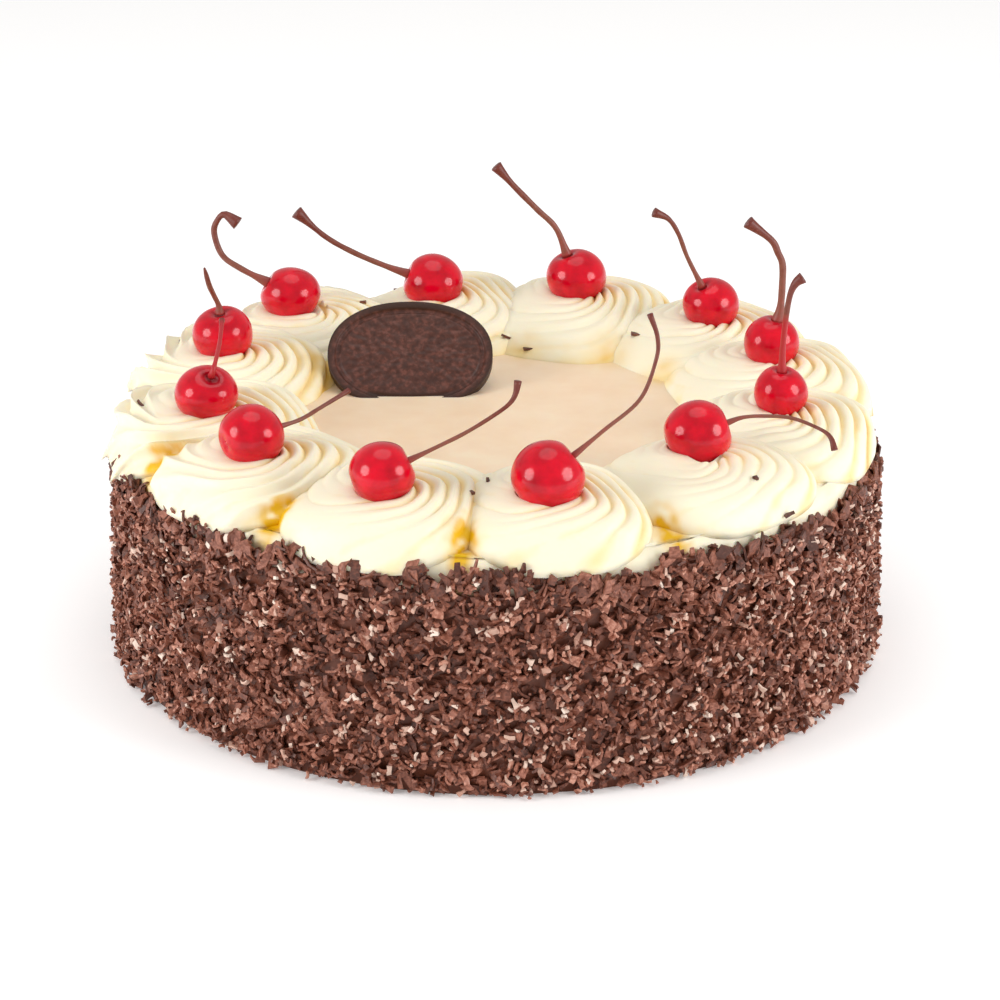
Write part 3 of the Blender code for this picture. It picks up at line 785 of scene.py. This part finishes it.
def makePlaque():
    deselectAll()
    bpy.ops.mesh.primitive_cylinder_add(vertices=plaque["sides"], radius=0.5, depth=1)
    piece = newPiece("ovalPlaque")
    piece.scale = (plaque["width"], plaque["length"], plaque["thickness"])
    bpy.ops.object.transform_apply(location=True, rotation=True, scale=True)
    selectFaces(piece, lambda polygon: polygon.normal.z > 0.9)
    editPiece(piece,
              (bpy.ops.mesh.inset, {"thickness": plaque["rim"]}),
              (bpy.ops.mesh.inset, {"thickness": plaque["step"], "depth": -plaque["relief"]}),
              (bpy.ops.mesh.inset, {"thickness": plaque["groove"]}),
              (bpy.ops.mesh.inset, {"thickness": plaque["beadWidth"], "depth": plaque["beadHeight"]}))
    bevel = piece.modifiers.new("soft edges", "BEVEL")
    bevel.width = plaque["softEdge"]
    bevel.segments = 4
    bevel.limit_method = "ANGLE"
    bevel.angle_limit = math.radians(35)
    bpy.ops.object.modifier_apply(modifier="soft edges")
    selectFaces(piece, lambda polygon: len(polygon.vertices) > 8 and polygon.normal.z > 0.9)
    editPiece(piece, (bpy.ops.mesh.inset, {"thickness": 0.3 * mm}), (bpy.ops.mesh.poke, {}),
              (bpy.ops.mesh.subdivide, {"number_cuts": plaque["faceCuts"]}))
    points = readPoints(piece)
    inner = 1 - np.hypot(points[:, 0] / (plaque["width"] / 2 - plaque["faceMargin"]),
                         points[:, 1] / (plaque["length"] / 2 - plaque["faceMargin"]))
    onFace = (points[:, 2] > 0) & (inner > 0)
    oval = np.hypot(points[:, 0] / plaque["width"], points[:, 1] / plaque["length"]) * 2
    around = np.arctan2(points[:, 1] / plaque["length"], points[:, 0] / plaque["width"])
    corner = np.abs(np.cos(around)) ** plaque["fullness"] + np.abs(np.sin(around)) ** plaque["fullness"]
    points[:, :2] *= (corner ** (-1 / plaque["fullness"]))[:, None]
    depth = np.hypot(points[:, 0], points[:, 1]) * (1 / np.maximum(oval, 0.01) - 1)
    edge = (1.0 + 1.6 * np.clip(np.sin(around), 0, 1) ** 2) * mm
    rimShade = np.clip((edge - depth) / (0.5 * mm), 0, 1)
    hammer = noiseAt(points, plaque["hammerSize"], 8.0)
    points[:, 2] += np.where(onFace, hammer * plaque["hammer"] * np.clip(inner * 8, 0, 1), 0)
    place = Matrix.Translation(plaque["place"]) @ Matrix.Rotation(plaque["lean"], 4, "X")
    points = points @ np.array(place.to_3x3()).T + np.array(plaque["place"])
    writePoints(piece, points)
    footShade = np.clip((creamTop + 1.1 * mm - points[:, 2]) / (0.5 * mm), 0, 1)
    storeAttribute(piece, "edge", np.maximum(rimShade, footShade))
    piece.data.shade_smooth()
    finishPiece(piece, mouldedChocolate(), "plaque")


makePlaque()
print("scene: plaque made")


# Chocolate flakes: a few shavings are modelled, then thousands of copies are laid on the
# side as joined meshes

flakes = {
    "seed": 11,
    # tones are partly random and partly painted shade: the flat layer, lying deepest, gets the darkest
    # range and the loose bits the lightest
    "flat": {"count": 5000, "length": (2.6, 6.0), "width": (1.7, 3.4), "radius": (110.4, 111.4),
             "tilt": 16, "height": 0.8, "tone": (0.08, 0.55)},
    "raised": {"count": 5600, "length": (2.0, 5.5), "width": (1.0, 2.6), "radius": (111.0, 112.6),
               "tilt": 45, "height": 0.8, "tone": (0.12, 0.85)},
    "bits": {"count": 5600, "length": (0.8, 2.3), "width": (0.6, 1.6), "radius": (111.5, 114.0),
             "tilt": 70, "height": 0.6, "tone": (0.15, 1.0)},
    "rim": {"count": 820, "length": (3.0, 8.0), "width": (1.5, 3.8), "radius": (110.6, 113.6),
            "tilt": 32, "tone": (0.0, 0.62)},
    "creamSpecks": {"count": 3600, "length": (0.8, 3.0), "width": (0.7, 1.9), "radius": (112.0, 113.2),
                    "tilt": 40, "height": 1.5, "tone": (0.0, 1.0), "clump": 7.0},
}
flakeThickness = 0.6             # millimetres
flakeClumps = {"size": 5.0, "depth": 1.5}    # how the side swells and sinks, in millimetres
flakeTop = {
    "height": 64.0,              # of the flakes' upper edge, in millimetres, as are the drops
    "fine": (4.4, 0.08),         # how uneven it is, and the size of its lumps in radians
    "broad": (2.4, 0.25),
    "sideDrop": 7.5,             # lower where cream hangs over at both sides
    "sideAt": 0.1,               # there the sine of the direction is near this
    "sideWidth": 0.3,
    "rightDrop": 5.0,            # and lower again at the right of the front
    "rightAt": -0.44,
    "rightWidth": 0.35,
}


def creamSpeck():
    # cream that shows between the flakes, stained by the chocolate
    material, tree, shader = startMaterial("cream stained by chocolate")
    tone = addNode(tree, "ShaderNodeAttribute", attribute_name="flakeTone").outputs["Fac"]
    ramp = addNode(tree, "ShaderNodeValToRGB", {"Fac": tone},
                   stops=[(0.0, "#B4826E"), (0.6, "#DDB9A6"), (1.0, "#F6E2D2")])
    fillSockets(tree, shader, {
        "Base Color": ramp.outputs["Color"], "Roughness": 0.5})
    return material


def modelShaving(name, cuts, curl, taper, ragged, seed):
    # one shaving, a unit long and wide: a thin block cut across, curled and made ragged
    deselectAll()
    bpy.ops.mesh.primitive_cube_add(size=1)
    piece = newPiece(name)
    cutPlanes = [(bpy.ops.mesh.bisect, {"plane_co": (-0.5 + (cut + 1) / (cuts + 1), 0, 0),
                                        "plane_no": (1, 0, 0)}) for cut in range(cuts)]
    steps = []
    for cutPlane in cutPlanes:
        steps += [(bpy.ops.mesh.select_all, {"action": "SELECT"}), cutPlane]
    editPiece(piece, *steps, (bpy.ops.mesh.select_all, {"action": "SELECT"}),
              (bpy.ops.mesh.quads_convert_to_tris, {}))
    draw = np.random.RandomState(seed)
    points = readPoints(piece)
    along = points[:, 0] + 0.5
    edge = np.sign(points[:, 1])
    row = np.round(along * (cuts + 1)).astype(int)
    bite = draw.uniform(-ragged, ragged, size=(cuts + 2, 2))
    points[:, 1] += edge * bite[row, (edge > 0).astype(int)]
    points[:, 1] *= 1 - taper * along
    faces = np.array([list(polygon.vertices) for polygon in piece.data.polygons])
    bpy.data.objects.remove(piece, do_unlink=True)
    return points, faces, curl


shavings = [
    modelShaving("shavingFlat", 1, 0.2, 0.25, 0.20, 1),
    modelShaving("shavingCurled", 3, 1.1, 0.15, 0.16, 2),
    modelShaving("shavingPointed", 1, 0.5, 0.75, 0.16, 3),
    modelShaving("shavingBroken", 2, 0.7, 0.35, 0.30, 4),
    modelShaving("shavingNotched", 2, 0.3, 0.10, 0.34, 5),
]


def turnAbout(axis, angle):
    # rotation matrices, one for each angle, about a fixed axis
    c, s, zero, one = np.cos(angle), np.sin(angle), np.zeros_like(angle), np.ones_like(angle)
    rows = {"X": [one, zero, zero, zero, c, -s, zero, s, c],
            "Y": [c, zero, s, zero, one, zero, -s, zero, c],
            "Z": [c, -s, zero, s, c, zero, zero, zero, one]}
    return np.stack(rows[axis], axis=1).reshape(-1, 3, 3)


def flakeEdge(angle):
    # height of the flakes' upper edge round the cake: ragged, and low where cream hangs over
    circle = np.stack([np.cos(angle), np.sin(angle), np.zeros_like(angle)], axis=1)
    fine, fineSize = flakeTop["fine"]
    broad, broadSize = flakeTop["broad"]
    uneven = fine * noiseAt(circle, fineSize, 2.0) + broad * noiseAt(circle, broadSize, 3.0)
    side = np.exp(-((np.sin(angle) - flakeTop["sideAt"]) / flakeTop["sideWidth"]) ** 4)
    right = np.exp(-((turnBetween(angle, 0.0) - flakeTop["rightAt"]) / flakeTop["rightWidth"]) ** 2)
    return (flakeTop["height"] + uneven * (1 - 0.6 * side) - flakeTop["sideDrop"] * side
            - flakeTop["rightDrop"] * right)


def joinShavings(name, points, faces, tones, material):
    # one mesh of many shavings, each with its own tone
    mesh = bpy.data.meshes.new(name)
    mesh.from_pydata(np.concatenate(points).tolist(), [], np.concatenate(faces).tolist())
    piece = bpy.data.objects.new(name, mesh)
    bpy.context.scene.collection.objects.link(piece)
    storeAttribute(piece, "flakeTone", np.concatenate(tones))
    finishPiece(piece, material)


def turnedOut(angle):
    # one frame for each angle round the cake: X along the side, Y up, Z outward
    frames = np.zeros((len(angle), 3, 3))
    frames[:, 0, 0], frames[:, 1, 0] = -np.sin(angle), np.cos(angle)
    frames[:, 2, 1] = 1
    frames[:, 0, 2], frames[:, 1, 2] = np.cos(angle), np.sin(angle)
    return frames


def onTheSide(which, turned, size, angle, radius, height):
    # the points of one shaving's copies, kept inside the cake's outer size and above its foot
    shape, _, curl = shavings[which]
    bend = shape[None] * size[:, None]
    bend[:, :, 2] -= curl * shape[None, :, 0] ** 2 * size[:, :1]
    out = np.stack([np.cos(angle), np.sin(angle), np.zeros(len(angle))], axis=1)
    centre = out * radius[:, None] * mm
    centre[:, 2] = height * mm
    world = np.einsum("nij,nvj->nvi", turned, bend) + centre[:, None]
    reach = np.hypot(world[:, :, 0], world[:, :, 1]).max(axis=1)
    inward = np.maximum(reach - flakeReach + 1.3 * wallTaper(height * mm), 0)
    world -= (out * inward[:, None])[:, None]
    world[:, :, 2] += np.maximum(0.2 * mm - world[:, :, 2].min(axis=1), 0)[:, None]
    return world


def layFlakes(name, kind, material, upright=False, seedShift=0):
    # spreads copies evenly over the side and stands each out at its own angle
    rule = flakes[kind]
    draw = np.random.RandomState(flakes["seed"] + seedShift)
    count = rule["count"]
    number = np.arange(count)
    angle = math.tau * (number * 0.7548776662 % 1.0) + draw.uniform(-0.5, 0.5, count) * 0.03
    height = (number * 0.5698402910 + draw.uniform(-0.5, 0.5, count) * 0.03) % 1.0
    length = draw.uniform(*rule["length"], count)
    edge = flakeEdge(angle)
    if upright:
        height = edge - length * 0.45 + draw.normal(0.6, 1.0, count)
    else:
        height = rule["height"] + height * (edge - 1.5 - rule["height"])
    width = np.minimum(draw.uniform(*rule["width"], count), length * 0.85)
    tilt = math.radians(rule["tilt"])
    turnIn = draw.normal(math.pi / 2, 0.7, count) if upright else draw.uniform(0, math.pi, count)

    # a shaving starts flat on the side: length along X, width along Y, thickness along Z
    turned = turnedOut(angle) @ turnAbout("Z", turnIn) @ turnAbout("Y", draw.normal(0, tilt, count))
    turned = turned @ turnAbout("X", draw.normal(0, tilt, count))
    radius = draw.uniform(*rule["radius"], count) - wallTaper(height * mm) / mm
    kindOf = draw.randint(0, len(shavings), count)
    middle = np.stack([np.cos(angle) * radius, np.sin(angle) * radius, height], axis=1)
    radius = radius + flakeClumps["depth"] * noiseAt(middle, flakeClumps["size"], 8.0)
    tones = draw.uniform(*rule["tone"], count) + 0.22 * noiseAt(middle, 9.0, 4.0)
    size = np.stack([length, width, np.full(count, flakeThickness)], axis=1) * mm
    kept = np.ones(count, bool)
    if "clump" in rule:
        kept = noiseAt(middle, rule["clump"], 6.0) > 0.08 - 0.12 * np.cos(angle + math.radians(60))

    points, faces, allTones, start = [], [], [], 0
    for which, (shape, shapeFaces, _) in enumerate(shavings):
        chosen = np.nonzero((kindOf == which) & kept)[0]
        world = onTheSide(which, turned[chosen], size[chosen], angle[chosen], radius[chosen],
                          height[chosen])
        offsets = start + np.arange(len(chosen)) * len(shape)
        points.append(world.reshape(-1, 3))
        faces.append((shapeFaces[None] + offsets[:, None, None]).reshape(-1, 3))
        allTones.append(np.repeat(tones[chosen], len(shape)))
        start += len(chosen) * len(shape)
    joinShavings(name, points, faces, allTones, material)


chocolateShavings = shavedChocolate()
layFlakes("flakesFlat", "flat", chocolateShavings, seedShift=1)
layFlakes("flakesRaised", "raised", chocolateShavings, seedShift=2)
layFlakes("flakeBits", "bits", chocolateShavings, seedShift=3)
layFlakes("flakesRim", "rim", chocolateShavings, upright=True, seedShift=4)
layFlakes("creamSpecks", "creamSpecks", creamSpeck(), seedShift=5)
print("scene: chocolate flakes laid on")


# A few crumbs of chocolate that have fallen on the cream

crumbs = {
    "places": [(-6.3, -82.7), (-2.1, -73.7), (3.3, 51.2), (9.7, 45.9), (42.6, 47.3), (73.6, -81.0),
               (78.6, -77.5), (85.0, -69.6), (-101.5, -16.6), (69.7, -73.4), (-41.4, 67.3)],
    "strays": 7,                 # and as many more along the rim at the back
    "length": (1.2, 3.4),
    "width": (0.8, 1.6),
    "seed": 5,
}


def creamHeight(x, y):
    # the highest cream surface under a point
    hits = []
    for piece in creamSurfaces:
        found, place, normal, face = piece.ray_cast(Vector((x, y, 0.2)), Vector((0, 0, -1)))
        if found:
            hits.append(place.z)
    return max(hits, default=creamTop)


def dropCrumbs():
    bpy.context.view_layer.update()
    draw = np.random.RandomState(crumbs["seed"])
    places = [(x * mm, y * mm) for x, y in crumbs["places"]]
    for stray in range(crumbs["strays"]):
        places.append(polar(draw.uniform(103, 109) * mm, draw.uniform(0.2, math.pi - 0.2))[:2])
    points, faces, tones = [], [], []
    for x, y in places:
        shape, shapeFaces, _ = shavings[draw.randint(len(shavings))]
        size = np.array([draw.uniform(*crumbs["length"]), draw.uniform(*crumbs["width"]), 0.7]) * mm
        turn = Matrix.Rotation(draw.uniform(0, math.tau), 3, "Z")
        turn = turn @ Matrix.Rotation(draw.uniform(-0.5, 0.5), 3, "Y")
        faces.append(shapeFaces + sum(len(block) for block in points))
        points.append((shape * size) @ np.array(turn).T + np.array([x, y, creamHeight(x, y) + 0.3 * mm]))
        tones.append(np.full(len(shape), draw.uniform(0.0, 0.4)))
    joinShavings("fallenCrumbs", points, faces, tones, chocolateShavings)


dropCrumbs()
print("scene: crumbs dropped")


# Studio: a pale floor, two soft boxes low at the sides and a soft overhead fill

studio = {
    "sideDistance": 1.1,
    "sideDirection": (0.88, -0.40, 0.34),
    "sideSize": 0.62,
    "sidePower": 6.8,
    "topPower": 5.2,
    "topSize": 1.2,
    "roomLight": 0.55,
}


def softBox(name, place, size, power):
    bpy.ops.object.light_add(type="AREA", location=place)
    lamp = bpy.context.object
    lamp.name = name
    lamp.data.shape = "DISK"
    lamp.data.size = size
    lamp.data.energy = power
    aim = Vector((0.0, 0.0, 0.05)) - Vector(place)
    lamp.rotation_euler = aim.to_track_quat("-Z", "Y").to_euler()


def makeStudio():
    deselectAll()
    bpy.ops.mesh.primitive_plane_add(size=8)
    floor = newPiece("floor")
    material, tree, shader = startMaterial("matt white card")
    fillSockets(tree, shader, {
        "Base Color": linear("#FFFFFF"), "Emission Color": linear("#FFFFFF"), "Emission Strength": 0.16,
        "Roughness": 0.9})
    floor.data.materials.append(material)
    x, y, z = [value * studio["sideDistance"] for value in studio["sideDirection"]]
    softBox("softBoxRight", (x, y, z + 0.05), studio["sideSize"], studio["sidePower"])
    softBox("softBoxLeft", (-x, y, z + 0.05), studio["sideSize"], studio["sidePower"])
    softBox("overhead", (0.0, 0.2, 1.5), studio["topSize"], studio["topPower"])
    world = bpy.data.worlds.new("studio")
    world.use_nodes = True
    world.node_tree.nodes["Background"].inputs["Color"].default_value = linear("#FFFDFB")
    world.node_tree.nodes["Background"].inputs["Strength"].default_value = studio["roomLight"]
    bpy.context.scene.world = world
    bpy.context.scene.view_settings.view_transform = "Standard"


makeStudio()
print("scene: studio lit")
